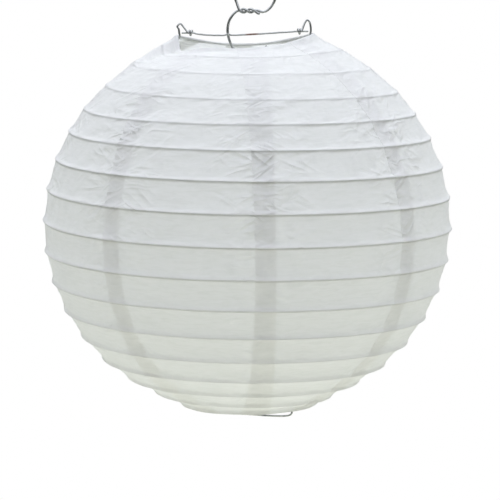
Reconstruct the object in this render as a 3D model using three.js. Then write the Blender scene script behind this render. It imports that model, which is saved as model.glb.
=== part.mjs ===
// A round paper lantern: eight overlapping paper gores glued over one spiral wire, between two
// wire mouth rings that a removable wire expander holds apart, hung from a bent wire hanger.
// Millimetres, +Z up. The origin is where a line bears inside the hanger's eye. The shade's own
// heights are counted from its widest point, and placed below the origin at the end.
import * as THREE from "three";

// Shade
const WIDEST_RADIUS = 150;
const RISE_ABOVE = 142.5; // half-height of the outline above the widest point, carried on to the axis
const DROP_BELOW = 140.5; // the same below it
const MOUTH_RADIUS = 49.6; // centreline of both mouth rings
const RING_WIRE = 1.2;
const RING_SIDES = 8;
const RING_STEPS = 72;
const OUTLINE_STEPS = 2000;
const SADDLE = 4.25; // the expander lifts the top ring by this at +X and -X, and it sags at +Y and -Y
const LEAN = 1.25; // the ring is also this much higher at -Y, and lower at +Y
const DIP = 10; // and it drops by this just in front of the expander's leg at -X
const DIP_PAST_LEG = THREE.MathUtils.degToRad(17);
const DIP_STEEP = THREE.MathUtils.degToRad(8.5); // how fast it drops, on the leg's side
const DIP_GENTLE = THREE.MathUtils.degToRad(33); // and comes back up, towards the front
const MOUTH_REACH = 60; // distance down the paper over which these waves die out
const TUCK = 0.04; // share by which the paper draws in just above the bottom mouth
const TUCK_ANGLE = 2.64; // polar angle of the middle of the tuck
const TUCK_WIDTH = 0.16;

// Paper gores
const GORES = 8;
const PAPER = 0.3; // a stand-in for paper of about 0.1 mm
const LAP_RISE = 1.5; // a gore's first edge lies this far above its last edge, so each lap is clear
const LAP_AT_WIDEST = 14.6;
const LAP_AT_MOUTH = 20;
const FIRST_SEAM = THREE.MathUtils.degToRad(274.7);
const PAPER_FROM_RING = 1.3; // the paper's edge, from the ring's centreline
const GORE_ROWS = 18;
const GORE_COLUMNS = 12;

// Spiral rib
const RIB_WIRE = 0.8;
const RIB_SIDES = 5;
const RIB_DEPTH = 2.8; // rib centreline under the outline, clear of the faceted paper
const RIB_PITCH = 23.05; // down the paper, per turn
const RIB_AT_FRONT = 16.7; // down the paper, where the spiral first crosses the front
const RIB_SLACK = 4.7; // the second and third turns have slipped down by this
const RIB_SLACK_TURN = 2.3;
const RIB_SLACK_WIDTH = 1.1;
const RIB_FIRST_TURN = -0.24;
const RIB_LAST_TURN = 14.6;
const RIB_STEPS_PER_TURN = 32;

// Expander: one bent wire. Each side as [distance from the axis, height], from its coil down
const EXPANDER_WIRE = 1.4;
const BENT_WIRE_STEPS = 2; // between one hand-set point and the next
const THIN_WIRE_SIDES = 6;
const COIL_RADIUS = 1.75;
const COIL_INNER_X = 38.4;
const COIL_PITCH = 1.8;
const COIL_TURNS = 1.5;
const COIL_STEPS = 14;
const BAR_HEIGHT = 141; // centre of both coils, and so of the crossbar's ends
const EXPANDER_RIGHT_TOP = [
  [43.8, 147.4],
  [45.6, 149.2],
  [47.1, 147.8],
  [47.9, 144.4],
];
const EXPANDER_LEFT_TOP = [
  [45.2, 146],
  [47.2, 147.8],
  [49.3, 145.8],
  [48.3, 143.8],
];
const EXPANDER_LEG = [
  [48.0, 141.2],
  [47.7, 138.2],
  [50.3, 134.9],
  [48.3, 132.2],
  [47.9, 127.5],
  [47.9, 110],
  [47.9, 40],
  [47.9, -40],
  [47.9, -105],
  [47.9, -122],
  [48.3, -125.6],
  [50.3, -128.4],
  [47.7, -131.6],
  [45.4, -134.6],
  [40, -136.2],
  [34, -137.2],
  [31.6, -138.6],
  [30.4, -142.2],
  [27.5, -143.5],
];
const BAR_SHOULDER = -136.2; // the bottom bar drops from here on each side
const LEFT_BAR_DROP = 0.4; // and by this share of the right side's drop at -X

// Crossbar, through the expander's two coils
const CROSSBAR_WIRE = 1.3;
const CROSSBAR_HALF_LENGTH = 46.2;
const CROSSBAR_STEPS = 56;
const CROSSBAR_SAG = 2.1;
const CROSSBAR_SAG_HALF_LENGTH = 37;
const CROSSBAR_SAG_SKEW = 0.6; // under 1, its lowest point is nearer to -X
const SEAT_X = -12.6; // a small upward kink, where the hook sits
const SEAT_RISE = 0.8;
const SEAT_WIDTH = 1.6;

// Hanger: one bent wire, with an open hook below and an eye closed by a twist above
const HANGER_WIRE = 1.9;
const HANGER_SIDES = 7;
const HOOK_BEHIND_BAR = 2.0;
const HOOK_FORWARD_FROM = 143; // height from which it comes forward to the twist
// The hook, as [x, height], from its tip round the open side and up to the twist
const HOOK = [
  [14.7, 130.7],
  [16.2, 128.7],
  [16.3, 126.2],
  [14.7, 123.9],
  [11.6, 122.3],
  [6.5, 121.8],
  [1, 122.7],
  [-4.4, 125.3],
  [-8.2, 128.5],
  [-10.6, 132.6],
  [-11.9, 136.5],
  [-12.5, 139.5],
  [-12.7, 142.3],
  [-12.4, 145.5],
  [-11.4, 149.2],
  [-9.7, 152.3],
  [-7.4, 155],
  [-4.9, 156.6],
];
const TWIST_HEIGHT = 156.6;
const TWIST_RADIUS = 1.2;
const TWIST_FROM_X = -3.4;
const TWIST_TO_X = 7;
const TWIST_STEPS = 12;
const EYE_X = 7.2;
const EYE_HIGHEST = 186.5;
// The eye, as [x, y, height], from the twist's right end round to its left end
const EYE_LOOP = [
  [8.8, 0.9, 156.8],
  [10.6, 0.4, 156.3],
  [12.8, 0, 155.6],
  [15.8, 0, 156.3],
  [19.2, 0, 159.2],
  [21.9, 0, 163.8],
  [23, 0, 169.4],
  [22.2, 0, 175.4],
  [19, 0, 180.9],
  [13.6, 0, 185],
  [EYE_X, 0, EYE_HIGHEST],
  [1.2, 0, 185.1],
  [-4, 0, 181.1],
  [-7.1, 0, 175.4],
  [-7.7, 0, 169.6],
  [-6.7, 0, 165.2],
  [-5.6, -0.4, 162],
  [-4.9, -0.9, 159.8],
  [-4.3, -1.2, 158.1],
];
const WIRE_END = [
  [9.1, -1.1, 155],
  [10.9, -1, 154.2],
];

const EYE_TOP = EYE_HIGHEST - HANGER_WIRE / 2;

const PAPER_WHITE = { color: 0xe9ecea, roughness: 0.9, metalness: 0 };
const RIB_STEEL = { color: 0x8d8f8c, roughness: 0.45, metalness: 0.9 };
const DARK_STEEL = { color: 0x4a4e4c, roughness: 0.4, metalness: 0.9 };

function mesh(name, geometry, finish) {
  const made = new THREE.Mesh(geometry, new THREE.MeshStandardMaterial(finish));
  made.name = name;
  return made;
}

// A path that an extrusion follows through exactly these stations, however far apart they are.
class WirePath extends THREE.Curve {
  constructor(stations) {
    super();
    this.stations = stations;
  }

  getPoint(t, target = new THREE.Vector3()) {
    const place = t * (this.stations.length - 1);
    const before = Math.min(Math.floor(place), this.stations.length - 2);
    return target.lerpVectors(this.stations[before], this.stations[before + 1], place - before);
  }

  getPointAt(u, target) {
    return this.getPoint(u, target);
  }

  getTangentAt(u, target = new THREE.Vector3()) {
    const last = this.stations.length - 1;
    const here = Math.round(u * last);
    const next = this.stations[Math.min(here + 1, last)];
    return target.subVectors(next, this.stations[Math.max(here - 1, 0)]).normalize();
  }
}

function wire(stations, diameter, sides) {
  const section = new THREE.Shape();
  for (let i = 0; i < sides; i += 1) {
    const angle = (2 * Math.PI * i) / sides;
    const x = (diameter / 2) * Math.cos(angle);
    const y = (diameter / 2) * Math.sin(angle);
    if (i === 0) section.moveTo(x, y);
    else section.lineTo(x, y);
  }
  return new THREE.ExtrudeGeometry(section, {
    steps: stations.length - 1,
    bevelEnabled: false,
    extrudePath: new WirePath(stations),
  });
}

// Smooth stations through hand-set points: close points give short steps, for tight bends.
function smooth(points) {
  const curve = new THREE.CatmullRomCurve3(points, false, "centripetal");
  return curve.getPoints((points.length - 1) * BENT_WIRE_STEPS);
}

// The shade's outline, as radius and height at a polar angle from the upper axis.
function outline(polar) {
  const tuck = TUCK * Math.exp(-(((polar - TUCK_ANGLE) / TUCK_WIDTH) ** 2));
  const half = polar < Math.PI / 2 ? RISE_ABOVE : DROP_BELOW;
  return [WIDEST_RADIUS * Math.sin(polar) * (1 - tuck), half * Math.cos(polar)];
}

// Outline stations from ring to ring, with the distance down the paper to each.
function outlineTable() {
  const first = Math.asin(MOUTH_RADIUS / WIDEST_RADIUS);
  const last = Math.PI - first;
  const table = [];
  let down = 0;
  let previous = null;
  for (let i = 0; i <= OUTLINE_STEPS; i += 1) {
    const [radius, height] = outline(THREE.MathUtils.lerp(first, last, i / OUTLINE_STEPS));
    if (previous) down += Math.hypot(radius - previous[0], height - previous[1]);
    if (down > 0 && height < 0 && radius < MOUTH_RADIUS) break;
    table.push({ radius, height, down });
    previous = [radius, height];
  }
  return table;
}

const OUTLINE = outlineTable();
const PAPER_LENGTH = OUTLINE.at(-1).down;
const BOTTOM_RING_HEIGHT = OUTLINE.at(-1).height;
const TOP_RING_HEIGHT = OUTLINE[0].height;

// Radius, height and outward normal of the outline, a distance down the paper from the top ring.
function outlineAt(down) {
  let low = 0;
  let high = OUTLINE.length - 1;
  while (high - low > 1) {
    const middle = (low + high) >> 1;
    if (OUTLINE[middle].down > down) high = middle;
    else low = middle;
  }
  const a = OUTLINE[low];
  const b = OUTLINE[high];
  const length = b.down - a.down;
  const share = (down - a.down) / length;
  return {
    radius: THREE.MathUtils.lerp(a.radius, b.radius, share),
    height: THREE.MathUtils.lerp(a.height, b.height, share),
    outX: -(b.height - a.height) / length,
    outZ: (b.radius - a.radius) / length,
  };
}

// How far the bent top ring lifts or lowers the paper, a distance down from it.
function mouthLift(angle, down) {
  const fade = Math.max(0, 1 - down / MOUTH_REACH) ** 2;
  const pastLeg = THREE.MathUtils.euclideanModulo(angle, 2 * Math.PI) - Math.PI;
  const width = pastLeg < DIP_PAST_LEG ? DIP_STEEP : DIP_GENTLE;
  const dip = DIP * Math.exp(-(((pastLeg - DIP_PAST_LEG) / width) ** 2));
  return (SADDLE * Math.cos(2 * angle) - LEAN * Math.sin(angle) - dip) * fade;
}

// A point at a bearing and a distance down the paper, lifted off the outline along its normal.
function shadePoint(angle, down, lift) {
  const at = outlineAt(down);
  const radius = at.radius + at.outX * lift;
  const height = at.height + at.outZ * lift + mouthLift(angle, down);
  return new THREE.Vector3(radius * Math.cos(angle), radius * Math.sin(angle), height);
}

// A gore runs from one seam to past the next. Its first edge lies over the gore before it.
function gore(index) {
  const shell = new THREE.BoxGeometry(1, 1, 1, GORE_COLUMNS, GORE_ROWS, 1);
  shell.deleteAttribute("normal");
  shell.deleteAttribute("uv");
  const place = shell.getAttribute("position");
  const seam = FIRST_SEAM + (index * 2 * Math.PI) / GORES;
  for (let i = 0; i < place.count; i += 1) {
    const across = place.getX(i) + 0.5;
    const share = 0.5 - place.getY(i);
    const down = THREE.MathUtils.lerp(PAPER_FROM_RING, PAPER_LENGTH - PAPER_FROM_RING, share);
    const { radius } = outlineAt(down);
    const towardsMouth = (WIDEST_RADIUS - radius) / (WIDEST_RADIUS - MOUTH_RADIUS);
    const lap = THREE.MathUtils.lerp(LAP_AT_WIDEST, LAP_AT_MOUTH, towardsMouth) / radius;
    const angle = seam - lap / 2 + across * ((2 * Math.PI) / GORES + lap);
    const lift = PAPER * (place.getZ(i) - 0.5) - LAP_RISE * across;
    place.setXYZ(i, ...shadePoint(angle, down, lift));
  }
  return shell;
}

function ribSpiral() {
  const steps = Math.round((RIB_LAST_TURN - RIB_FIRST_TURN) * RIB_STEPS_PER_TURN);
  const stations = [];
  for (let i = 0; i <= steps; i += 1) {
    const turn = THREE.MathUtils.lerp(RIB_FIRST_TURN, RIB_LAST_TURN, i / steps);
    const slack = RIB_SLACK * Math.exp(-(((turn - RIB_SLACK_TURN) / RIB_SLACK_WIDTH) ** 2));
    const down = RIB_AT_FRONT + RIB_PITCH * turn + slack;
    stations.push(shadePoint(2 * Math.PI * (turn + 0.75), down, -RIB_DEPTH));
  }
  return wire(stations, RIB_WIRE, RIB_SIDES);
}

function mouthRing(height, liftAt) {
  const ring = new THREE.TorusGeometry(MOUTH_RADIUS, RING_WIRE / 2, RING_SIDES, RING_STEPS);
  const place = ring.getAttribute("position");
  for (let i = 0; i < place.count; i += 1) {
    const angle = Math.atan2(place.getY(i), place.getX(i));
    place.setZ(i, place.getZ(i) + height + liftAt(angle));
  }
  return ring;
}

// One side of the expander, from the inner end of its coil out to the arm and down to the bar.
function expanderSide(top, barDrop) {
  const points = [];
  for (let i = 0; i <= COIL_STEPS; i += 1) {
    const share = i / COIL_STEPS;
    const angle = Math.PI * 2 * COIL_TURNS * share;
    const x = COIL_INNER_X + COIL_PITCH * COIL_TURNS * share;
    const y = COIL_RADIUS * Math.cos(angle);
    points.push(new THREE.Vector3(x, y, BAR_HEIGHT + COIL_RADIUS * Math.sin(angle)));
  }
  for (const [x, height] of [...top, ...EXPANDER_LEG]) {
    const under = Math.min(0, height - BAR_SHOULDER);
    points.push(new THREE.Vector3(x, 0, height - under * (1 - barDrop)));
  }
  return points;
}

function expander() {
  const right = expanderSide(EXPANDER_RIGHT_TOP, 1);
  const left = expanderSide(EXPANDER_LEFT_TOP, LEFT_BAR_DROP);
  const mirrored = left.map((p) => new THREE.Vector3(-p.x, p.y, p.z)).reverse();
  return wire(smooth([...right, ...mirrored]), EXPANDER_WIRE, THIN_WIRE_SIDES);
}

function crossbarHeight(x) {
  const half = CROSSBAR_SAG_HALF_LENGTH;
  const share = THREE.MathUtils.clamp((x + half) / (2 * half), 0, 1);
  const sag = CROSSBAR_SAG * Math.sin(Math.PI * share ** CROSSBAR_SAG_SKEW);
  const seat = SEAT_RISE * Math.exp(-(((x - SEAT_X) / SEAT_WIDTH) ** 2));
  return BAR_HEIGHT - sag + seat;
}

function crossbar() {
  const stations = [];
  for (let i = 0; i <= CROSSBAR_STEPS; i += 1) {
    const share = i / CROSSBAR_STEPS;
    const x = THREE.MathUtils.lerp(-CROSSBAR_HALF_LENGTH, CROSSBAR_HALF_LENGTH, share);
    stations.push(new THREE.Vector3(x, 0, crossbarHeight(x)));
  }
  return wire(stations, CROSSBAR_WIRE, THIN_WIRE_SIDES);
}

// One of the two strands that wind round each other between the hook and the eye.
function twistStrand(phase) {
  const points = [];
  for (let i = 0; i <= TWIST_STEPS; i += 1) {
    const share = i / TWIST_STEPS;
    const angle = phase + 2 * Math.PI * share;
    const x = THREE.MathUtils.lerp(TWIST_FROM_X, TWIST_TO_X, share);
    const y = TWIST_RADIUS * Math.cos(angle);
    points.push([x, y, TWIST_HEIGHT + TWIST_RADIUS * Math.sin(angle)]);
  }
  return points;
}

// The hook lies behind the crossbar, and comes forward as it reaches the twist.
function hookPoint([x, height]) {
  const forward = THREE.MathUtils.smoothstep(height, HOOK_FORWARD_FROM, TWIST_HEIGHT);
  return [x, THREE.MathUtils.lerp(HOOK_BEHIND_BAR, TWIST_RADIUS, forward), height];
}

// From the hook's tip up into the twist, round the eye, and back through the twist to the end.
function hanger() {
  const points = [
    ...HOOK.map(hookPoint),
    ...twistStrand(0),
    ...EYE_LOOP,
    ...twistStrand(Math.PI),
    ...WIRE_END,
  ];
  const path = smooth(points.map((point) => new THREE.Vector3(...point)));
  return wire(path, HANGER_WIRE, HANGER_SIDES);
}

const lantern = new THREE.Group();
for (let i = 0; i < GORES; i += 1) lantern.add(mesh(`paper_gore_${i + 1}`, gore(i), PAPER_WHITE));
lantern.add(mesh("rib_spiral", ribSpiral(), RIB_STEEL));
lantern.add(mesh("top_ring", mouthRing(TOP_RING_HEIGHT, (angle) => mouthLift(angle, 0)), RIB_STEEL));
lantern.add(mesh("bottom_ring", mouthRing(BOTTOM_RING_HEIGHT, () => 0), RIB_STEEL));
lantern.add(mesh("expander_frame", expander(), DARK_STEEL));
lantern.add(mesh("crossbar", crossbar(), DARK_STEEL));
lantern.add(mesh("hanger", hanger(), DARK_STEEL));
lantern.position.set(-EYE_X, 0, -EYE_TOP);

const part = new THREE.Group();
part.add(lantern);

export default part;
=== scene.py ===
"""A round paper lantern: paper gores over one spiral wire, between two mouth rings that a bent
wire expander holds apart, hung from a wire hook. Metres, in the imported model's frame."""
import math

import bpy
import numpy as np
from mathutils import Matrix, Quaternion, Vector


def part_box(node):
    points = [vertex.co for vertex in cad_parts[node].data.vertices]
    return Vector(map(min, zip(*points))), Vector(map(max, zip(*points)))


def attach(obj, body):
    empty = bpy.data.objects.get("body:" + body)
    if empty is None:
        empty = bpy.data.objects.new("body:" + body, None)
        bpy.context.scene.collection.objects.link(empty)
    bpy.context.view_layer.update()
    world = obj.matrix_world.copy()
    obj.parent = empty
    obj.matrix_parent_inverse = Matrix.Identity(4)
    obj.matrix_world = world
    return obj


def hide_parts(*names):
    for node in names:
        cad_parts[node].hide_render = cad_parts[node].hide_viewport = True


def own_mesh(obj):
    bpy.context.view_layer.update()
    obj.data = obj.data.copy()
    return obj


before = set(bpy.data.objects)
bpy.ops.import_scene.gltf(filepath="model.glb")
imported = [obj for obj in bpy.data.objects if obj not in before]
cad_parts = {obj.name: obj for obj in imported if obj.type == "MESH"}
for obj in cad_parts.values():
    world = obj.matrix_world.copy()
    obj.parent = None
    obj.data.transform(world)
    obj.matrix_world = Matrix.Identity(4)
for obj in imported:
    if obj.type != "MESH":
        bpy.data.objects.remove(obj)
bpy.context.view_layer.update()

MM = 0.001
QUARTER = math.pi / 2
TURN = 2 * math.pi
SHARP_ANGLE = math.radians(50)

# Shade. Heights on its outline are counted from its widest point.
WIDEST_RADIUS = 150 * MM
RISE_ABOVE = 142.5 * MM
DROP_BELOW = 140.5 * MM
OUTLINE_POINTS = 4001
RING_LOW, RING_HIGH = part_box("bottom_ring")
RING_WIRE = RING_HIGH.z - RING_LOW.z
RING_POINTS = 360
MOUTH_RADIUS = (RING_HIGH.x - RING_LOW.x - RING_WIRE) / 2
AXIS_X = (RING_LOW.x + RING_HIGH.x) / 2
SADDLE = 4.25 * MM
LEAN = 1.25 * MM
DIP = 10 * MM
DIP_PAST_LEG = math.radians(17)
DIP_STEEP = math.radians(8.5)
DIP_GENTLE = math.radians(33)
MOUTH_REACH = 60 * MM
TUCK = 0.04
TUCK_ANGLE = 2.64
TUCK_WIDTH = 0.16

# Paper gores
GORES = 8
GORE_ANGLE = TURN / GORES
PAPER = 0.12 * MM
FIRST_SEAM = math.radians(274.7)
LAP_AT_WIDEST = 14.6 * MM
LAP_AT_MOUTH = 20 * MM
LAP_RISE = 0.22 * MM
LAP_BLEND = 7 * MM
LAP_COLUMNS = 8
CLEAR_COLUMNS = 60
BESIDE_RIB = [0.3 * MM, 0.7 * MM, 1.2 * MM, 1.8 * MM, 2.6 * MM, 3.6 * MM]
LOWEST_EVEN_BAND = 10 * MM
MIDDLE_ROWS = 5
HEM = 1.5 * MM
HEM_UNDER = 0.32 * MM
HEM_DROP = 0.5 * MM
HEM_UNEVEN = 0.16
HEM_SHARES = (1, 0.8, 0.6, 0.4, 0.2, 0.06)
HEM_ARC_ROWS = 8
RING_CLEARANCE = 0.09 * MM
RING_REACH = 5 * MM
HOLLOW = 0.058
HOLLOW_POWER = 2.2
RIB_DENT = 1.0 * MM
DENT_ABOVE_RIB = 1.9 * MM
DENT_BELOW_RIB = 0.9 * MM
RIB_STILL = 1.1 * MM
FAR_FROM_RIB = 9 * MM
UPPER_DENT = 0.28  # of the full dent and hollow, near the upper mouth
HOLLOW_UNEVEN = 0.22
CRUMPLE_ACROSS = 22 * MM
CRUMPLE_DOWN = 19 * MM
CRUMPLE_SEED = 23
PUCKER_ACROSS = 6.5 * MM
PUCKER_DOWN = 30 * MM
PUCKER_SEED = 11
SEAM_CREASES = 26 * MM  # how far they reach from a seam
CREASE_HEIGHT = 1.0 * MM  # of the material's finer creases

# Spiral rib
RIB_WIRE = 0.8 * MM
RIB_PITCH = 23.05 * MM
RIB_AT_FRONT = 16.7 * MM
RIB_SLACK = 4.7 * MM
RIB_SLACK_TURN = 2.3
RIB_SLACK_WIDTH = 1.1
RIB_FIRST_TURN = -0.24
RIB_LAST_TURN = 14.6
RIB_FADE = 0.012
RIB_FROM_RING = 2.5 * MM
RIB_STEPS_PER_TURN = 180
RIB_DEPTH = RIB_WIRE / 2 + PAPER / 2 + 0.03 * MM

# Wire in general. A cut end narrows over a short length.
CUT_END_LENGTH = 0.16  # of the diameter
CUT_END_RADIUS = 0.39  # of the diameter
WIRE_WEAR = 0.012  # of the radius
WIRE_WEAR_LENGTH = 4 * MM
BENT_WIRE_STEPS = 8  # from one given point to the next

# Expander: one bent wire. Each side as [distance from the axis, height] in millimetres, from
# its coil down
EXPANDER_WIRE = 1.4 * MM
COIL_RADIUS = 1.75 * MM
COIL_INNER_X = 38.4 * MM
COIL_PITCH = 1.8 * MM
COIL_TURNS = 1.5
COIL_STEPS = 14
BAR_HEIGHT = 141 * MM
EXPANDER_RIGHT_TOP = [
    [43.8, 147.4],
    [45.6, 149.2],
    [47.1, 147.8],
    [47.9, 144.4],
]
EXPANDER_LEFT_TOP = [
    [45.2, 146],
    [47.2, 147.8],
    [49.3, 145.8],
    [48.3, 143.8],
]
EXPANDER_LEG = [
    [48.0, 141.2],
    [47.7, 138.2],
    [50.3, 134.9],
    [48.3, 132.2],
    [47.9, 127.5],
    [47.9, 110],
    [47.9, 40],
    [47.9, -40],
    [47.9, -105],
    [47.9, -122],
    [48.3, -125.6],
    [50.3, -128.4],
    [47.7, -131.6],
    [45.4, -134.6],
    [40, -136.2],
    [34, -137.2],
    [31.6, -138.6],
    [30.4, -142.2],
    [27.5, -143.5],
]
BAR_SHOULDER = -136.2
LEFT_BAR_DROP = 0.4

# Crossbar, through the expander's two coils
CROSSBAR_WIRE = 1.3 * MM
CROSSBAR_HALF_LENGTH = 46.2 * MM
CROSSBAR_POINTS = 220
CROSSBAR_SAG = 2.1 * MM
CROSSBAR_SAG_HALF_LENGTH = 37 * MM
CROSSBAR_SAG_SKEW = 0.6
SEAT_X = -12.6 * MM
SEAT_RISE = 0.8 * MM
SEAT_WIDTH = 1.6 * MM
RUST_X = 5 * MM
RUST_HALF_LENGTH = 4.5 * MM

# Hanger: one bent wire, with an open hook below and an eye closed by a twist above.
# The hook and the eye are in millimetres, as the expander is.
HANGER_WIRE = 1.9 * MM
HOOK_BEHIND_BAR = 2.0
HOOK_FORWARD_FROM = 143  # height from which it comes forward to the twist
HOOK = [
    [14.7, 130.7],
    [16.2, 128.7],
    [16.3, 126.2],
    [14.7, 123.9],
    [11.6, 122.3],
    [6.5, 121.8],
    [1, 122.7],
    [-4.4, 125.3],
    [-8.2, 128.5],
    [-10.6, 132.6],
    [-11.9, 136.5],
    [-12.5, 139.5],
    [-12.7, 142.3],
    [-12.4, 145.5],
    [-11.4, 149.2],
    [-9.7, 152.3],
    [-7.4, 155],
    [-4.9, 156.6],
]
TWIST_HEIGHT = 156.6
TWIST_RADIUS = 1.2
TWIST_FROM_X = -3.4
TWIST_TO_X = 7
TWIST_STEPS = 12
EYE_LOOP = [
    [8.8, 0.9, 156.8],
    [10.6, 0.4, 156.3],
    [12.8, 0, 155.6],
    [15.8, 0, 156.3],
    [19.2, 0, 159.2],
    [21.9, 0, 163.8],
    [23, 0, 169.4],
    [22.2, 0, 175.4],
    [19, 0, 180.9],
    [13.6, 0, 185],
    [7.2, 0, 186.5],
    [1.2, 0, 185.1],
    [-4, 0, 181.1],
    [-7.1, 0, 175.4],
    [-7.7, 0, 169.6],
    [-6.7, 0, 165.2],
    [-5.6, -0.4, 162],
    [-4.9, -0.9, 159.8],
    [-4.3, -1.2, 158.1],
]
WIRE_END = [
    [9.1, -1.1, 155],
    [10.9, -1, 154.2],
]

# Camera and stage
CAMERA_AWAY = 2.2
CAMERA_ABOVE_WIDEST = 0.264
CAMERA_LENS = 217
CAMERA_SENSOR = 36
CAMERA_AIM_RIGHT = 1.5 * MM
CAMERA_AIM_BELOW = 19.2 * MM
CAMERA_ROLL = math.radians(-0.77)
FLOOR_BELOW = 4.5
FLOOR_HALF_SIZE = 8
WARM, COOL = (0.99, 1.02, 0.87), (0.97, 0.985, 1.09)
# The room's light, as [how far up, strength, tint], from level and below to overhead
LIGHT_STOPS = [(0.0, 0.04, WARM), (0.2, 0.18, WARM), (0.5, 1.42, COOL), (1.0, 1.66, COOL)]
LIGHT_ACROSS = 0.9, 1.06  # its share from the left and from the right
LIGHT_DEEP = 0.93, 1.35  # and from the front and from the back


# ---------------------------------------------------------------- seeded noise

def lattice(i, j, seed):
    """A fixed value from 0 to 1 at each whole-numbered point."""
    value = np.sin(i * 127.1 + j * 311.7 + seed * 74.7) * 43758.5453
    return value - np.floor(value)


def noise(u, v, seed):
    """Smooth noise from -1 to 1, with one cell per unit."""
    i, j = np.floor(u), np.floor(v)
    x, y = u - i, v - j
    x, y = x * x * (3 - 2 * x), y * y * (3 - 2 * y)
    low = lattice(i, j, seed) * (1 - x) + lattice(i + 1, j, seed) * x
    high = lattice(i, j + 1, seed) * (1 - x) + lattice(i + 1, j + 1, seed) * x
    return 2 * (low * (1 - y) + high * y) - 1


def folds(u, v, seed):
    """Sharp-edged folds from -1 to 1, as crumpled paper has, in three sizes and directions."""
    total = 0
    for octave in range(3):
        turned = 0.7 + 1.3 * octave
        size = 1.9**octave
        a = (u * math.cos(turned) - v * math.sin(turned)) * size
        b = (u * math.sin(turned) + v * math.cos(turned)) * size
        total = total + (1 - 2.6 * np.abs(noise(a, b, seed + octave))) / size
    return total / 2


def smoothstep(low, high, x):
    share = np.clip((x - low) / (high - low), 0, 1)
    return share * share * (3 - 2 * share)


# ---------------------------------------------------------------- the shade's outline

def outline_table():
    """Distance down the paper, radius and height, from the top ring to the bottom ring."""
    first = math.asin(MOUTH_RADIUS / WIDEST_RADIUS)
    polar = np.linspace(first, math.pi - first, OUTLINE_POINTS)
    tuck = TUCK * np.exp(-(((polar - TUCK_ANGLE) / TUCK_WIDTH) ** 2))
    half = np.where(polar < QUARTER, RISE_ABOVE, DROP_BELOW)
    radius = WIDEST_RADIUS * np.sin(polar) * (1 - tuck)
    height = half * np.cos(polar)
    past = (height < 0) & (radius < MOUTH_RADIUS)
    end = int(np.argmax(past)) if past.any() else len(polar)
    radius, height = radius[:end], height[:end]
    steps = np.hypot(np.diff(radius), np.diff(height))
    return np.concatenate([[0], np.cumsum(steps)]), radius, height


DOWN, RADIUS, HEIGHT = outline_table()
SLOPE_RADIUS, SLOPE_HEIGHT = np.gradient(RADIUS, DOWN), np.gradient(HEIGHT, DOWN)
PAPER_LENGTH = DOWN[-1]
BOTTOM_RING_Z = (RING_LOW.z + RING_HIGH.z) / 2
WIDEST_Z = BOTTOM_RING_Z - HEIGHT[-1]
PLACE = np.array([AXIS_X, 0, WIDEST_Z])  # the shade's centre, in the model's frame


def mouth_lift(angle, down):
    """How far the bent top ring lifts or lowers the paper."""
    fade = np.maximum(0, 1 - down / MOUTH_REACH) ** 2
    past_leg = angle % TURN - math.pi
    width = np.where(past_leg < DIP_PAST_LEG, DIP_STEEP, DIP_GENTLE)
    dip = DIP * np.exp(-(((past_leg - DIP_PAST_LEG) / width) ** 2))
    return (SADDLE * np.cos(2 * angle) - LEAN * np.sin(angle) - dip) * fade


def shade_points(angle, down, lift):
    """Points at a bearing and a distance down the paper, lifted off the outline. Past either
    ring the outline goes on straight."""
    on_paper = np.clip(down, 0, PAPER_LENGTH)
    past = down - on_paper
    along_radius = np.interp(on_paper, DOWN, SLOPE_RADIUS)
    along_height = np.interp(on_paper, DOWN, SLOPE_HEIGHT)
    radius = np.interp(on_paper, DOWN, RADIUS) + along_radius * past - along_height * lift
    height = np.interp(on_paper, DOWN, HEIGHT) + along_height * past + along_radius * lift
    height = height + mouth_lift(angle, on_paper)
    return np.stack([radius * np.cos(angle), radius * np.sin(angle), height], -1) + PLACE


def rib_down(turn):
    slack = RIB_SLACK * np.exp(-(((turn - RIB_SLACK_TURN) / RIB_SLACK_WIDTH) ** 2))
    return RIB_AT_FRONT + RIB_PITCH * turn + slack


# ---------------------------------------------------------------- meshes

def new_object(name, points, faces, uvs=None, values=None):
    """A smooth-shaded mesh. uvs and values hold one entry for each point."""
    mesh = bpy.data.meshes.new(name)
    mesh.from_pydata(np.asarray(points).tolist(), [], faces)
    if uvs is not None:
        corners = np.zeros(len(mesh.loops), np.int32)
        mesh.loops.foreach_get("vertex_index", corners)
        layer = mesh.uv_layers.new(name="surface")
        layer.data.foreach_set("uv", np.asarray(uvs, np.float32)[corners].ravel())
    for key, numbers in (values or {}).items():
        attribute = mesh.attributes.new(key, "FLOAT", "POINT")
        attribute.data.foreach_set("value", np.asarray(numbers, np.float32))
    mesh.polygons.foreach_set("use_smooth", [True] * len(mesh.polygons))
    mesh.set_sharp_from_angle(angle=SHARP_ANGLE)
    made = bpy.data.objects.new(name, mesh)
    bpy.context.scene.collection.objects.link(made)
    return made


def unit(vectors):
    return vectors / np.maximum(np.linalg.norm(vectors, axis=-1, keepdims=True), 1e-12)


def grid_faces(rows, columns, start, flip):
    faces = []
    for i in range(rows - 1):
        for j in range(columns - 1):
            a = start + i * columns + j
            face = (a, a + columns, a + columns + 1, a + 1)
            faces.append(face[::-1] if flip else face)
    return faces


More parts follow.
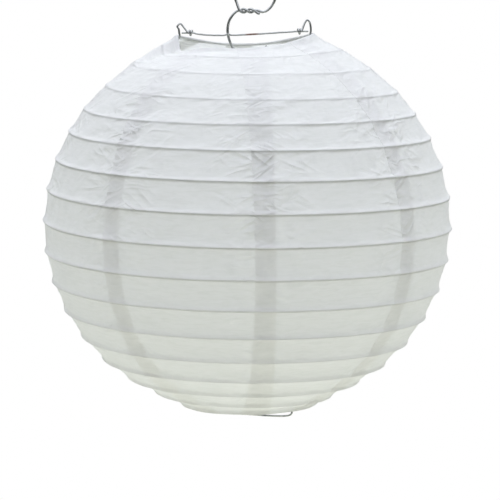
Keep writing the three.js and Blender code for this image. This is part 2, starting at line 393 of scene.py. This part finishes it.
def thin_shell(name, middle, thickness, uvs, values):
    """A closed sheet of paper around a grid of points that run down, then across."""
    rows, columns = middle.shape[:2]
    normal = unit(np.cross(np.gradient(middle, axis=0), np.gradient(middle, axis=1)))
    count = rows * columns
    outer = (middle + normal * thickness / 2).reshape(-1, 3)
    inner = (middle - normal * thickness / 2).reshape(-1, 3)
    faces = grid_faces(rows, columns, 0, False) + grid_faces(rows, columns, count, True)
    rim = [j for j in range(columns)]
    rim += [i * columns + columns - 1 for i in range(1, rows)]
    rim += [(rows - 1) * columns + j for j in range(columns - 2, -1, -1)]
    rim += [i * columns for i in range(rows - 2, 0, -1)]
    for a, b in zip(rim, rim[1:] + rim[:1]):
        faces.append((a, b, b + count, a + count))
    doubled = {key: np.tile(numbers.ravel(), 2) for key, numbers in values.items()}
    points = np.concatenate([outer, inner])
    return new_object(name, points, faces, np.tile(uvs.reshape(-1, 2), (2, 1)), doubled)


def frames_along(path, closed):
    """Two directions across a wire at each point, turned as little as possible along it."""
    if closed:
        tangent = unit(np.roll(path, -1, 0) - np.roll(path, 1, 0))
        outward = unit((path - PLACE) * [1, 1, 0])
        side = unit(np.cross(tangent, outward))
        return np.cross(side, tangent), side
    tangent = unit(np.gradient(path, axis=0))
    start = [0, 0, 1] if abs(tangent[0][2]) < 0.9 else [1, 0, 0]
    across = [unit(np.cross(tangent[0], start))]
    for along in tangent[1:]:
        carried = across[-1] - along * (across[-1] @ along)
        across.append(unit(carried))
    across = np.array(across)
    return across, np.cross(tangent, across)


def tube(name, path, diameter, sides=16, closed=False, values=None):
    """A round drawn wire along a path, with softly cut ends. Its uv is round, then along."""
    path = np.asarray(path, float)
    values = dict(values or {})
    radii = np.full(len(path), diameter / 2)
    if not closed:
        chamfer = CUT_END_LENGTH * diameter
        first, last = unit(path[1] - path[0]), unit(path[-1] - path[-2])
        ends = [path[0], path[0] + first * chamfer], [path[-1] - last * chamfer, path[-1]]
        path = np.concatenate([ends[0], path[1:-1], ends[1]])
        cut = [CUT_END_RADIUS * diameter]
        radii = np.concatenate([cut, radii, cut])
        values = {k: np.concatenate([v[:1], v, v[-1:]]) for k, v in values.items()}
    across, side = frames_along(path, closed)
    distance = np.concatenate([[0], np.cumsum(np.linalg.norm(np.diff(path, axis=0), axis=1))])
    turns = np.arange(sides) / sides
    angle = turns * TURN
    wear = 1 + WIRE_WEAR * noise(distance / WIRE_WEAR_LENGTH, distance * 0, len(path))
    ring = across[:, None] * np.cos(angle)[:, None] + side[:, None] * np.sin(angle)[:, None]
    points = (path[:, None] + ring * (radii * wear)[:, None, None]).reshape(-1, 3)
    uvs = np.stack(np.broadcast_arrays(turns * math.pi * diameter, distance[:, None]), -1)
    uvs = uvs.reshape(-1, 2)
    count = len(path)
    faces = []
    for i in range(count if closed else count - 1):
        for j in range(sides):
            a, b = i * sides + j, i * sides + (j + 1) % sides
            next_ring = (i + 1) % count * sides
            faces.append((a, b, next_ring + (j + 1) % sides, next_ring + j))
    if not closed:
        faces.append(tuple(range(sides))[::-1])
        faces.append(tuple(range((count - 1) * sides, count * sides)))
    spread = {key: np.repeat(numbers, sides) for key, numbers in values.items()}
    return new_object(name, points, faces, uvs, spread)


def smooth_path(points):
    """A centripetal Catmull-Rom curve through given points."""
    points = np.asarray(points, float)
    ends = 2 * points[0] - points[1], 2 * points[-1] - points[-2]
    p = np.concatenate([[ends[0]], points, [ends[1]]])
    path = []
    for i in range(1, len(p) - 2):
        gap = [max(np.linalg.norm(p[i + k] - p[i + k - 1]), 1e-9) ** 0.5 for k in range(3)]
        before = (p[i] - p[i - 1]) / gap[0] - (p[i + 1] - p[i - 1]) / (gap[0] + gap[1])
        middle = (p[i + 1] - p[i]) / gap[1]
        after = (p[i + 2] - p[i + 1]) / gap[2] - (p[i + 2] - p[i]) / (gap[1] + gap[2])
        start, end = (before + middle) * gap[1], (middle + after) * gap[1]
        for step in range(BENT_WIRE_STEPS):
            t = step / BENT_WIRE_STEPS
            third = 2 * p[i] - 2 * p[i + 1] + start + end
            second = 3 * p[i + 1] - 3 * p[i] - 2 * start - end
            path.append(p[i] + t * (start + t * (second + t * third)))
    path.append(points[-1])
    return np.array(path)


# ---------------------------------------------------------------- paper gores

def lap_angle(down):
    radius = np.interp(down, DOWN, RADIUS)
    towards_mouth = (WIDEST_RADIUS - radius) / (WIDEST_RADIUS - MOUTH_RADIUS)
    return (LAP_AT_WIDEST + (LAP_AT_MOUTH - LAP_AT_WIDEST) * towards_mouth) / radius


def into_gore(column, down):
    """Angle from a gore's first edge. Columns 0 to 1 cross its first lap, 1 to 2 its clear
    part and 2 to 3 its last lap."""
    lap = lap_angle(down)
    clear = (GORE_ANGLE - lap) * np.clip(column - 1, 0, 1)
    return lap * np.clip(column, 0, 1) + clear + lap * np.clip(column - 2, 0, 1)


def gore_bearing(seam, column, down):
    return seam - lap_angle(down) / 2 + into_gore(column, down)


def rib_rows(seam):
    """The turns, counted at the bearing 0, whose rib crosses this gore clear of both rings."""
    rows = []
    for whole in range(-2, 16):
        bearings = seam + np.array([-0.25, GORE_ANGLE + 0.25])
        down = rib_down(bearings / TURN - 0.75 + whole)
        if down.min() > RIB_FROM_RING and down.max() < PAPER_LENGTH - RIB_FROM_RING:
            rows.append(whole)
    return rows


def rib_shown(turn):
    start = smoothstep(RIB_FIRST_TURN - RIB_FADE, RIB_FIRST_TURN, turn)
    return start * (1 - smoothstep(RIB_LAST_TURN, RIB_LAST_TURN + RIB_FADE, turn))


def band(seam, column, share, top, bottom):
    """Bearing, distance down, band height and rib presence above and below, for one row of
    points a share of the way from one rib to the next. None stands for a mouth ring."""
    down = np.full_like(column, PAPER_LENGTH / 2)
    for _ in range(6):
        angle = gore_bearing(seam, column, down)
        turn = angle / TURN - 0.75
        start = np.zeros_like(column) if top is None else rib_down(turn + top)
        end = np.full_like(column, PAPER_LENGTH) if bottom is None else rib_down(turn + bottom)
        down = start + (end - start) * share
    above = np.zeros_like(column) if top is None else rib_shown(turn + top)
    below = np.zeros_like(column) if bottom is None else rib_shown(turn + bottom)
    return angle, down, end - start, above, below


def row_shares(height):
    """Rows close together beside each rib, where the paper bends most, and even between."""
    close = np.minimum(1, height / LOWEST_EVEN_BAND) / height
    near = [distance * close for distance in BESIDE_RIB]
    middle = [near[-1] + (1 - 2 * near[-1]) * i / MIDDLE_ROWS for i in range(1, MIDDLE_ROWS)]
    return [0 * height, *near, *middle, *[1 - share for share in near[::-1]]]


def seam_distance(angle, down):
    """Distance across the paper to the nearest seam's middle."""
    from_seam = (angle - FIRST_SEAM + GORE_ANGLE / 2) % GORE_ANGLE - GORE_ANGLE / 2
    return np.abs(from_seam) * np.interp(down, DOWN, RADIUS)


def wrinkle(angle, down, share, height):
    """How far broad creases lift the paper: puckers that run up from each rib, and crumpling,
    most of it in the upper half and beside the seams. The material adds the finer ones."""
    arc_length = (angle % TURN) * np.interp(down, DOWN, RADIUS)
    turn_number = np.floor(down / RIB_PITCH)
    above_rib, below_rib = (1 - share) * height, share * height
    upper = 1 - smoothstep(0.42, 0.62, down / PAPER_LENGTH)
    upper = upper * (0.4 + 0.6 * smoothstep(0.12, 0.3, down / PAPER_LENGTH))
    by_seam = np.exp(-((seam_distance(angle, down) / SEAM_CREASES) ** 2))
    pleats = folds(arc_length / PUCKER_ACROSS, down / PUCKER_DOWN + turn_number, PUCKER_SEED)
    pucker = pleats * (0.34 * np.exp(-above_rib / (5 * MM)) + 0.14 * np.exp(-below_rib / (4 * MM)))
    crumple = folds(arc_length / CRUMPLE_ACROSS, down / CRUMPLE_DOWN, CRUMPLE_SEED)
    crumple = crumple * (0.18 + 0.42 * upper + 0.30 * by_seam)
    nearest = np.minimum(above_rib, below_rib)
    still = 1 - np.exp(-((nearest / RIB_STILL) ** 2))
    return (pucker * (0.6 + 0.4 * upper) + crumple) * still * MM


def paper_lift(angle, down, share, height, above, below):
    """How far the paper lies off the outline: bent over each rib and hollow between ribs,
    with its creases."""
    uneven = 1 + HOLLOW_UNEVEN * noise(angle * 5, down / CRUMPLE_DOWN, 5)
    hollow = HOLLOW * height * (1 - np.abs(2 * share - 1) ** HOLLOW_POWER)
    under_rib, over_rib = share * height / DENT_BELOW_RIB, (1 - share) * height / DENT_ABOVE_RIB
    pulled = UPPER_DENT + (1 - UPPER_DENT) * smoothstep(0.13, 0.4, down / PAPER_LENGTH)
    near_rib = np.maximum(above * np.exp(-(under_rib**2)), below * np.exp(-(over_rib**2)))
    from_ring = np.minimum(down, PAPER_LENGTH - down)
    dent = RIB_DENT * pulled * (1 - near_rib) * smoothstep(0, RING_REACH, from_ring)
    return -hollow * uneven * pulled - dent + wrinkle(angle, down, share, height)


def layer_lift(column, down):
    """A gore's first edge lies over the gore before it, by the lap's width."""
    radius = np.interp(down, DOWN, RADIUS)
    past_lap = (into_gore(column, down) - lap_angle(down)) * radius
    return LAP_RISE * (1 - smoothstep(0, LAP_BLEND, past_lap))


def ring_lift(from_ring):
    """The paper rises from the outline to pass over the ring."""
    reach = RING_WIRE / 2 + RING_CLEARANCE + PAPER / 2
    return reach * (1 - smoothstep(0, RING_REACH, from_ring))


def hem_rows(seam, column, at_top):
    """Rows from the hem's free edge, back under the paper and round the ring."""
    ring_at = 0 if at_top else PAPER_LENGTH
    inward = 1 if at_top else -1
    down = np.full_like(column, ring_at)
    angle = gore_bearing(seam, column, down)
    rise = layer_lift(column, down)
    reach = RING_WIRE / 2 + RING_CLEARANCE + PAPER / 2 + rise
    hem = HEM * (1 + HEM_UNEVEN * noise(angle * 9, down * 0, 71))
    away = np.full_like(column, FAR_FROM_RIB)
    rows = []
    for share in HEM_SHARES:
        under = HEM_UNDER + (RING_WIRE / 2 - HEM_UNDER + RING_CLEARANCE) * (1 - share) ** 2
        under += HEM_DROP * share
        lift = -under - PAPER / 2 - rise
        rows.append((angle, ring_at + inward * hem * share, lift, away, away))
    for step in range(HEM_ARC_ROWS + 1):
        around = math.pi * (1 - step / HEM_ARC_ROWS)
        off_ring = -inward * reach * math.sin(around)
        rows.append((angle, ring_at + off_ring, reach * math.cos(around), away, away))
    return rows


def gore_rows(seam, column):
    """Every row of the gore's middle surface, from the top hem to the bottom one."""
    rows = hem_rows(seam, column, True)
    edges = [None, *rib_rows(seam), None]
    for top, bottom in zip(edges, edges[1:]):
        height = band(seam, column, 0.5, top, bottom)[2]
        for step, share in enumerate(row_shares(height)):
            if top is None and step == 0:
                continue
            angle, down, height, above, below = band(seam, column, share, top, bottom)
            lift = paper_lift(angle, down, share, height, above, below)
            lift = lift + layer_lift(column, down)
            lift = lift + ring_lift(down) + ring_lift(PAPER_LENGTH - down)
            under_rib = share * height if top is not None else height
            over_rib = (1 - share) * height if bottom is not None else height
            rows.append((angle, down, lift, under_rib, over_rib))
    return rows + hem_rows(seam, column, False)[::-1]


def gore(index):
    seam = FIRST_SEAM + index * GORE_ANGLE
    first_lap = np.linspace(0, 1, LAP_COLUMNS, endpoint=False)
    clear = np.linspace(1, 2, CLEAR_COLUMNS, endpoint=False)
    column = np.concatenate([first_lap, clear, np.linspace(2, 3, LAP_COLUMNS + 1)])
    rows = gore_rows(seam, column)
    angle, down, lift, under, over = (np.array([row[k] for row in rows]) for k in range(5))
    middle = shade_points(angle, down, lift)
    radius = np.interp(down, DOWN, RADIUS)
    steps = np.linalg.norm(np.diff(middle, axis=0), axis=2)
    along = np.concatenate([np.zeros((1, len(column))), np.cumsum(steps, axis=0)])
    uvs = np.stack([(angle - seam) * radius + index * 0.2, along], -1)
    in_lap = lap_angle(down) * radius / 2 - seam_distance(angle, down)
    crease = folds((angle % TURN) * radius / CRUMPLE_ACROSS, down / CRUMPLE_DOWN, CRUMPLE_SEED)
    values = {"lap_mm": in_lap / MM, "down": down / PAPER_LENGTH, "crease": crease,
              "under_rib_mm": under / MM, "over_rib_mm": over / MM}
    return thin_shell(f"gore_{index + 1}", middle, PAPER, uvs, values)


# ---------------------------------------------------------------- wires

def rib_spiral():
    steps = round((RIB_LAST_TURN - RIB_FIRST_TURN) * RIB_STEPS_PER_TURN)
    turn = np.linspace(RIB_FIRST_TURN, RIB_LAST_TURN, steps + 1)
    path = shade_points(TURN * (turn + 0.75), rib_down(turn), np.full_like(turn, -RIB_DEPTH))
    return tube("spiral_rib_wire", path, RIB_WIRE, sides=10)


def mouth_ring(name, ring_down):
    angle = np.linspace(0, TURN, RING_POINTS, endpoint=False)
    path = shade_points(angle, np.full_like(angle, ring_down), np.zeros_like(angle))
    return tube(name, path, RING_WIRE, closed=True)


def expander_side(top, bar_drop):
    """From the inner end of its coil out to the arm, then down to the bottom bar."""
    side = []
    for i in range(COIL_STEPS + 1):
        share = i / COIL_STEPS
        angle = TURN * COIL_TURNS * share
        x = COIL_INNER_X + COIL_PITCH * COIL_TURNS * share
        y, z = COIL_RADIUS * math.cos(angle), COIL_RADIUS * math.sin(angle)
        side.append([x, y, BAR_HEIGHT + z])
    for x, height in top + EXPANDER_LEG:
        under = min(0, height - BAR_SHOULDER)
        side.append([x * MM, 0, (height - under * (1 - bar_drop)) * MM])
    return side


def expander():
    right = expander_side(EXPANDER_RIGHT_TOP, 1)
    left = [[-x, y, z] for x, y, z in expander_side(EXPANDER_LEFT_TOP, LEFT_BAR_DROP)]
    return tube("expander_wire", smooth_path(right + left[::-1]) + PLACE, EXPANDER_WIRE)


def crossbar():
    x = np.linspace(-CROSSBAR_HALF_LENGTH, CROSSBAR_HALF_LENGTH, CROSSBAR_POINTS)
    along = np.clip((x / CROSSBAR_SAG_HALF_LENGTH + 1) / 2, 0, 1)
    sag = CROSSBAR_SAG * np.sin(math.pi * along**CROSSBAR_SAG_SKEW)
    seat = SEAT_RISE * np.exp(-(((x - SEAT_X) / SEAT_WIDTH) ** 2))
    path = np.stack([x, 0 * x, BAR_HEIGHT - sag + seat], -1) + PLACE
    rust = np.exp(-(((x - RUST_X) / RUST_HALF_LENGTH) ** 4))
    return tube("crossbar_wire", path, CROSSBAR_WIRE, values={"rust": rust})


def twist_strand(phase):
    """One of the two strands that wind round each other between the hook and the eye."""
    share = np.linspace(0, 1, TWIST_STEPS + 1)
    angle = phase + TURN * share
    x = TWIST_FROM_X + (TWIST_TO_X - TWIST_FROM_X) * share
    y, z = TWIST_RADIUS * np.cos(angle), TWIST_HEIGHT + TWIST_RADIUS * np.sin(angle)
    return np.stack([x, y, z], -1)


def hanger():
    """From the hook's tip up into the twist, round the eye, and back through the twist."""
    x, height = np.array(HOOK, float).T
    forward = smoothstep(HOOK_FORWARD_FROM, TWIST_HEIGHT, height)
    behind = HOOK_BEHIND_BAR + (TWIST_RADIUS - HOOK_BEHIND_BAR) * forward
    hook = np.stack([x, behind, height], -1)
    parts = [hook, twist_strand(0), EYE_LOOP, twist_strand(math.pi), WIRE_END]
    path = smooth_path(np.concatenate(parts) * MM) + PLACE
    return tube("hanger_wire", path, HANGER_WIRE, sides=20)


# ---------------------------------------------------------------- materials

class Nodes:
    """A short way to write a material's nodes."""

    def __init__(self, name):
        self.material = bpy.data.materials.new(name)
        self.material.use_nodes = True
        self.tree = self.material.node_tree
        self.tree.nodes.clear()

    def add(self, kind, **settings):
        node = self.tree.nodes.new(kind)
        for key, value in settings.items():
            setattr(node, key, value)
        return node

    def link(self, output, target):
        self.tree.links.new(output, target)

    def scaled_uv(self, scale, turn=0):
        """The surface's own coordinates in metres, turned and then scaled."""
        place = self.add("ShaderNodeUVMap", uv_map="surface").outputs["UV"]
        for key, value in (("Rotation", (0, 0, turn)), ("Scale", scale)):
            mapping = self.add("ShaderNodeMapping")
            mapping.inputs[key].default_value = value
            self.link(place, mapping.inputs["Vector"])
            place = mapping.outputs["Vector"]
        return place

    def noise(self, scale, detail=3, roughness=0.55, distortion=0, turn=0):
        texture = self.add("ShaderNodeTexNoise")
        texture.inputs["Scale"].default_value = 1
        texture.inputs["Detail"].default_value = detail
        texture.inputs["Roughness"].default_value = roughness
        texture.inputs["Distortion"].default_value = distortion
        self.link(self.scaled_uv(scale, turn), texture.inputs["Vector"])
        return texture.outputs["Fac"]

    def ridges(self, length, width, turn):
        """Long sharp creases, of about this length and spacing, that come and go."""
        wave = self.noise((1 / length, 1 / width, 1), detail=0.6, distortion=0.4, turn=turn)
        slope = self.maths("ABSOLUTE", self.maths("SUBTRACT", wave, 0.5), 0)
        crest = self.spread(slope, 0, 0.2, 1, 0)
        here = self.noise((0.9 / length, 0.45 / width, 1), detail=1, turn=turn + 0.6)
        return self.times(crest, self.spread(here, 0.48, 0.66, 0, 1))

    def attribute(self, name):
        return self.add("ShaderNodeAttribute", attribute_name=name).outputs["Fac"]

    def spread(self, value, low, high, to_low, to_high):
        """Maps a range of one value to another range, and keeps it there."""
        node = self.add("ShaderNodeMapRange")
        for key, number in (("From Min", low), ("From Max", high)):
            node.inputs[key].default_value = number
        for key, number in (("To Min", to_low), ("To Max", to_high)):
            node.inputs[key].default_value = number
        self.link(value, node.inputs["Value"])
        return node.outputs["Result"]

    def maths(self, operation, first, second):
        node = self.add("ShaderNodeMath", operation=operation)
        for socket, value in zip(node.inputs, (first, second)):
            if isinstance(value, (int, float)):
                socket.default_value = value
            else:
                self.link(value, socket)
        return node.outputs["Value"]

    def times(self, first, second):
        return self.maths("MULTIPLY", first, second)

    def mix(self, share, first, second):
        node = self.add("ShaderNodeMix", data_type="RGBA")
        for socket, value in zip((node.inputs[0], node.inputs[6], node.inputs[7]),
                                 (share, first, second)):
            if isinstance(value, (int, float)):
                socket.default_value = value
            elif isinstance(value, tuple):
                socket.default_value = (*value, 1)
            else:
                self.link(value, socket)
        return node.outputs[2]

    def bump(self, height, distance, strength, normal=None):
        node = self.add("ShaderNodeBump")
        node.inputs["Strength"].default_value = strength
        node.inputs["Distance"].default_value = distance
        self.link(height, node.inputs["Height"])
        if normal is not None:
            self.link(normal, node.inputs["Normal"])
        return node.outputs["Normal"]

    def finish(self, shader):
        output = self.add("ShaderNodeOutputMaterial")
        self.link(shader, output.inputs["Surface"])
        return self.material


def paper_material():
    """Thin fibrous tissue: cloudy where light comes through, with faint fibres and creases."""
    n = Nodes("lantern_paper")
    cloud = n.noise((260, 260, 1), detail=4, roughness=0.6)
    broad = n.noise((28, 28, 1), detail=2)
    fibre_a = n.noise((900, 90, 1), detail=3, roughness=0.7, distortion=1.2)
    fibre_b = n.noise((120, 760, 1), detail=3, roughness=0.7, distortion=1.4)
    fibre = n.maths("MAXIMUM", fibre_a, fibre_b)
    crush = n.noise((150, 150, 1), detail=5, roughness=0.62, distortion=0.5)
    fine = n.spread(fibre, 0.5, 0.8, 0, 1)
    streaks = n.noise((70, 430, 1), detail=2, roughness=0.6, distortion=0.8)
    streak = n.spread(streaks, 0.4, 0.7, 0, 1)
    tone = n.mix(n.spread(cloud, 0.3, 0.7, 0, 1), (0.925, 0.93, 0.925), (0.95, 0.955, 0.95))
    tone = n.mix(n.spread(broad, 0.3, 0.7, 0, 0.35), tone, (0.915, 0.925, 0.915))
    tone = n.mix(n.times(fine, 0.28), tone, (0.965, 0.965, 0.96))
    tone = n.mix(n.times(streak, 0.4), tone, (0.85, 0.865, 0.85))
    glue = n.spread(n.attribute("lap_mm"), -0.2, 0.2, 0, 1)
    # Painted shade: the paper is greyed along the fold lines of its crumpling.
    painted_crease_shade = n.spread(n.attribute("crease"), 0.35, 0.5, 0, 0.22)
    tone = n.mix(painted_crease_shade, tone, (0.88, 0.885, 0.88))
    down = n.attribute("down")
    under_rib = n.attribute("under_rib_mm")
    # Painted shade: a dark line just under each rib, fainter near the upper mouth, on the face and
    # in the light that comes through.
    shade = n.times(n.spread(under_rib, 0.15, 0.4, 0, 1), n.spread(under_rib, 0.8, 1.7, 1, 0))
    shade = n.times(shade, n.spread(down, 0.15, 0.4, 0.12, 1))
    # Painted highlight: a lighter strip just above each rib.
    lit = n.times(n.spread(n.attribute("over_rib_mm"), 0.8, 2.4, 1, 0), 0.7)
    tone = n.mix(lit, tone, (0.96, 0.96, 0.955))
    tone = n.mix(n.times(shade, 0.5), tone, (0.55, 0.56, 0.53))
    face = n.add("ShaderNodeBsdfPrincipled")
    face.inputs["Specular IOR Level"].default_value = 0.28
    n.link(tone, face.inputs["Base Color"])
    n.link(n.spread(crush, 0.3, 0.7, 0.62, 0.9), face.inputs["Roughness"])
    through = n.add("ShaderNodeBsdfTranslucent")
    light = n.mix(n.spread(cloud, 0.25, 0.75, 0, 1), (0.955, 0.965, 0.95), (0.985, 0.99, 0.98))
    light = n.mix(n.times(fine, 0.3), light, (0.91, 0.92, 0.90))
    light = n.mix(n.times(streak, 0.5), light, (0.87, 0.885, 0.86))
    # The painted shade under each rib, in the light that comes through.
    light = n.mix(n.times(shade, 0.6), light, (0.70, 0.71, 0.68))
    light = n.mix(n.times(glue, 0.25), light, (0.93, 0.92, 0.905))
    n.link(light, through.inputs["Color"])
    by_seam = n.spread(n.attribute("lap_mm"), -34, -2, 0.12, 1)
    fanned = n.maths("ADD", n.ridges(34 * MM, 8 * MM, 0.1), n.ridges(25 * MM, 7 * MM, 0.55))
    fanned = n.maths("ADD", fanned, n.ridges(28 * MM, 7.5 * MM, -0.45))
    strength = n.times(by_seam, n.spread(down, 0.4, 0.62, 1, 0.22))
    strength = n.times(strength, n.spread(down, 0.14, 0.28, 0.35, 1))
    upright = n.times(n.ridges(30 * MM, 7 * MM, 1.45), n.spread(down, 0.1, 0.25, 0.3, 0))
    creased = n.maths("ADD", n.times(fanned, strength), upright)
    normal = n.bump(creased, CREASE_HEIGHT, 1)
    normal = n.bump(crush, 0.2 * MM, 0.5, normal)
    normal = n.bump(fine, 0.05 * MM, 0.4, normal)
    n.link(normal, face.inputs["Normal"])
    n.link(normal, through.inputs["Normal"])
    both = n.add("ShaderNodeMixShader")
    both.inputs["Fac"].default_value = 0.6
    n.link(face.outputs["BSDF"], both.inputs[1])
    n.link(through.outputs["BSDF"], both.inputs[2])
    return n.finish(both.outputs["Shader"])


def wire_material(name, bright, dull, roughness, rusty=False):
    """Drawn steel wire: fine lines along it, dull patches, and rust where a mark says so."""
    n = Nodes(name)
    lines = n.noise((5200, 60, 1), detail=3, roughness=0.6)
    patches = n.noise((300, 160, 1), detail=3)
    colour = n.mix(n.spread(patches, 0.38, 0.66, 0, 1), bright, dull)
    colour = n.mix(n.spread(lines, 0.35, 0.75, 0, 0.4), colour, dull)
    rough = n.spread(n.maths("ADD", lines, patches), 0.7, 1.4, roughness - 0.1, roughness + 0.16)
    face = n.add("ShaderNodeBsdfPrincipled")
    if rusty:
        speckle = n.noise((1500, 1100, 1), detail=4, roughness=0.7)
        marked = n.times(n.attribute("rust"), n.spread(speckle, 0.34, 0.52, 0, 1))
        colour = n.mix(marked, colour, (0.21, 0.085, 0.045))
        rough = n.maths("MAXIMUM", rough, n.times(marked, 0.85))
        n.link(n.maths("SUBTRACT", 1, n.times(marked, 0.9)), face.inputs["Metallic"])
    else:
        face.inputs["Metallic"].default_value = 1
    n.link(colour, face.inputs["Base Color"])
    n.link(rough, face.inputs["Roughness"])
    n.link(n.bump(lines, 0.03 * MM, 0.35), face.inputs["Normal"])
    return n.finish(face.outputs["BSDF"])


# ---------------------------------------------------------------- stage

def camera():
    made = bpy.data.cameras.new("camera")
    made.lens = CAMERA_LENS
    made.sensor_width = CAMERA_SENSOR
    made.clip_end = 1000
    holder = bpy.data.objects.new("camera", made)
    bpy.context.scene.collection.objects.link(holder)
    holder.location = (AXIS_X, -CAMERA_AWAY, WIDEST_Z + CAMERA_ABOVE_WIDEST)
    aim = Vector((AXIS_X + CAMERA_AIM_RIGHT, 0, WIDEST_Z - CAMERA_AIM_BELOW))
    looking = (aim - holder.location).to_track_quat("-Z", "Y")
    holder.rotation_mode = "QUATERNION"
    holder.rotation_quaternion = looking @ Quaternion((0, 0, 1), CAMERA_ROLL)
    bpy.context.scene.camera = holder


def floor():
    half = FLOOR_HALF_SIZE
    z = WIDEST_Z - FLOOR_BELOW
    corners = [(-half, -half, z), (half, -half, z), (half, half, z), (-half, half, z)]
    made = new_object("pale_floor", corners, [(0, 1, 2, 3)])
    n = Nodes("pale_floor")
    speckle = n.add("ShaderNodeTexNoise")
    speckle.inputs["Scale"].default_value = 2
    tone = n.mix(speckle.outputs["Fac"], (0.96, 0.955, 0.78), (0.97, 0.965, 0.79))
    face = n.add("ShaderNodeBsdfPrincipled")
    face.inputs["Roughness"].default_value = 0.9
    n.link(tone, face.inputs["Base Color"])
    made.data.materials.append(n.finish(face.outputs["BSDF"]))


def studio_light():
    """A dim room under a large soft ceiling light, shown as plain white behind the object."""
    world = bpy.data.worlds.new("studio")
    bpy.context.scene.world = world
    world.use_nodes = True
    nodes, links = world.node_tree.nodes, world.node_tree.links
    nodes.clear()
    direction = nodes.new("ShaderNodeTexCoord")
    split = nodes.new("ShaderNodeSeparateXYZ")
    ramp = nodes.new("ShaderNodeValToRGB")
    ramp.color_ramp.interpolation = "EASE"
    while len(ramp.color_ramp.elements) < len(LIGHT_STOPS):
        ramp.color_ramp.elements.new(0.5)
    for element, (place, strength, tint) in zip(ramp.color_ramp.elements, LIGHT_STOPS):
        element.position = place
        element.color = (*[strength * share for share in tint], 1)
    level = nodes.new("ShaderNodeMath")
    level.operation = "MULTIPLY"
    for factor, (axis, low, high) in zip(level.inputs, (("X", *LIGHT_ACROSS), ("Y", *LIGHT_DEEP))):
        towards = nodes.new("ShaderNodeMapRange")
        towards.inputs["From Min"].default_value = -1
        towards.inputs["To Min"].default_value = low
        towards.inputs["To Max"].default_value = high
        links.new(split.outputs[axis], towards.inputs["Value"])
        links.new(towards.outputs["Result"], factor)
    lit = nodes.new("ShaderNodeBackground")
    seen = nodes.new("ShaderNodeBackground")
    seen.inputs["Color"].default_value = (1, 1, 1, 1)
    path = nodes.new("ShaderNodeLightPath")
    both = nodes.new("ShaderNodeMixShader")
    output = nodes.new("ShaderNodeOutputWorld")
    links.new(direction.outputs["Generated"], split.inputs["Vector"])
    links.new(split.outputs["Z"], ramp.inputs["Fac"])
    links.new(ramp.outputs["Color"], lit.inputs["Color"])
    links.new(level.outputs["Value"], lit.inputs["Strength"])
    links.new(path.outputs["Is Camera Ray"], both.inputs["Fac"])
    links.new(lit.outputs["Background"], both.inputs[1])
    links.new(seen.outputs["Background"], both.inputs[2])
    links.new(both.outputs["Shader"], output.inputs["Surface"])
    bpy.context.scene.view_settings.view_transform = "Standard"


# ---------------------------------------------------------------- the lantern

def collapse(piece):
    """Gives the piece a mesh of its own."""
    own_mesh(piece)


def fit(piece, node, body, material):
    piece.data.materials.append(material)
    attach(piece, body)
    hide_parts(node)


def build():
    paper = paper_material()
    rib_steel = wire_material("rib_steel", (0.58, 0.59, 0.57), (0.42, 0.43, 0.42), 0.40)
    ring_steel = wire_material("ring_steel", (0.78, 0.79, 0.77), (0.62, 0.63, 0.62), 0.45)
    dark_steel = wire_material("dark_steel", (0.56, 0.58, 0.56), (0.27, 0.28, 0.275), 0.32)
    bar_steel = wire_material("bar_steel", (0.54, 0.56, 0.54), (0.26, 0.27, 0.265), 0.34,
                              rusty=True)

    top = mouth_ring("upper_ring_wire", 0)
    fit(top, "top_ring", "shade_top", ring_steel)
    collapse(top)
    bottom = mouth_ring("lower_ring_wire", PAPER_LENGTH)
    fit(bottom, "bottom_ring", "shade_bottom", ring_steel)
    collapse(bottom)
    spiral = rib_spiral()
    fit(spiral, "rib_spiral", "shade_top", rib_steel)
    collapse(spiral)

    for index in range(GORES):
        piece = gore(index)
        fit(piece, f"paper_gore_{index + 1}", "shade_top", paper)
        collapse(piece)

    fit(expander(), "expander_frame", "expander", dark_steel)
    fit(crossbar(), "crossbar", "crossbar", bar_steel)
    fit(hanger(), "hanger", "hanger", dark_steel)


camera()
studio_light()
floor()
build()
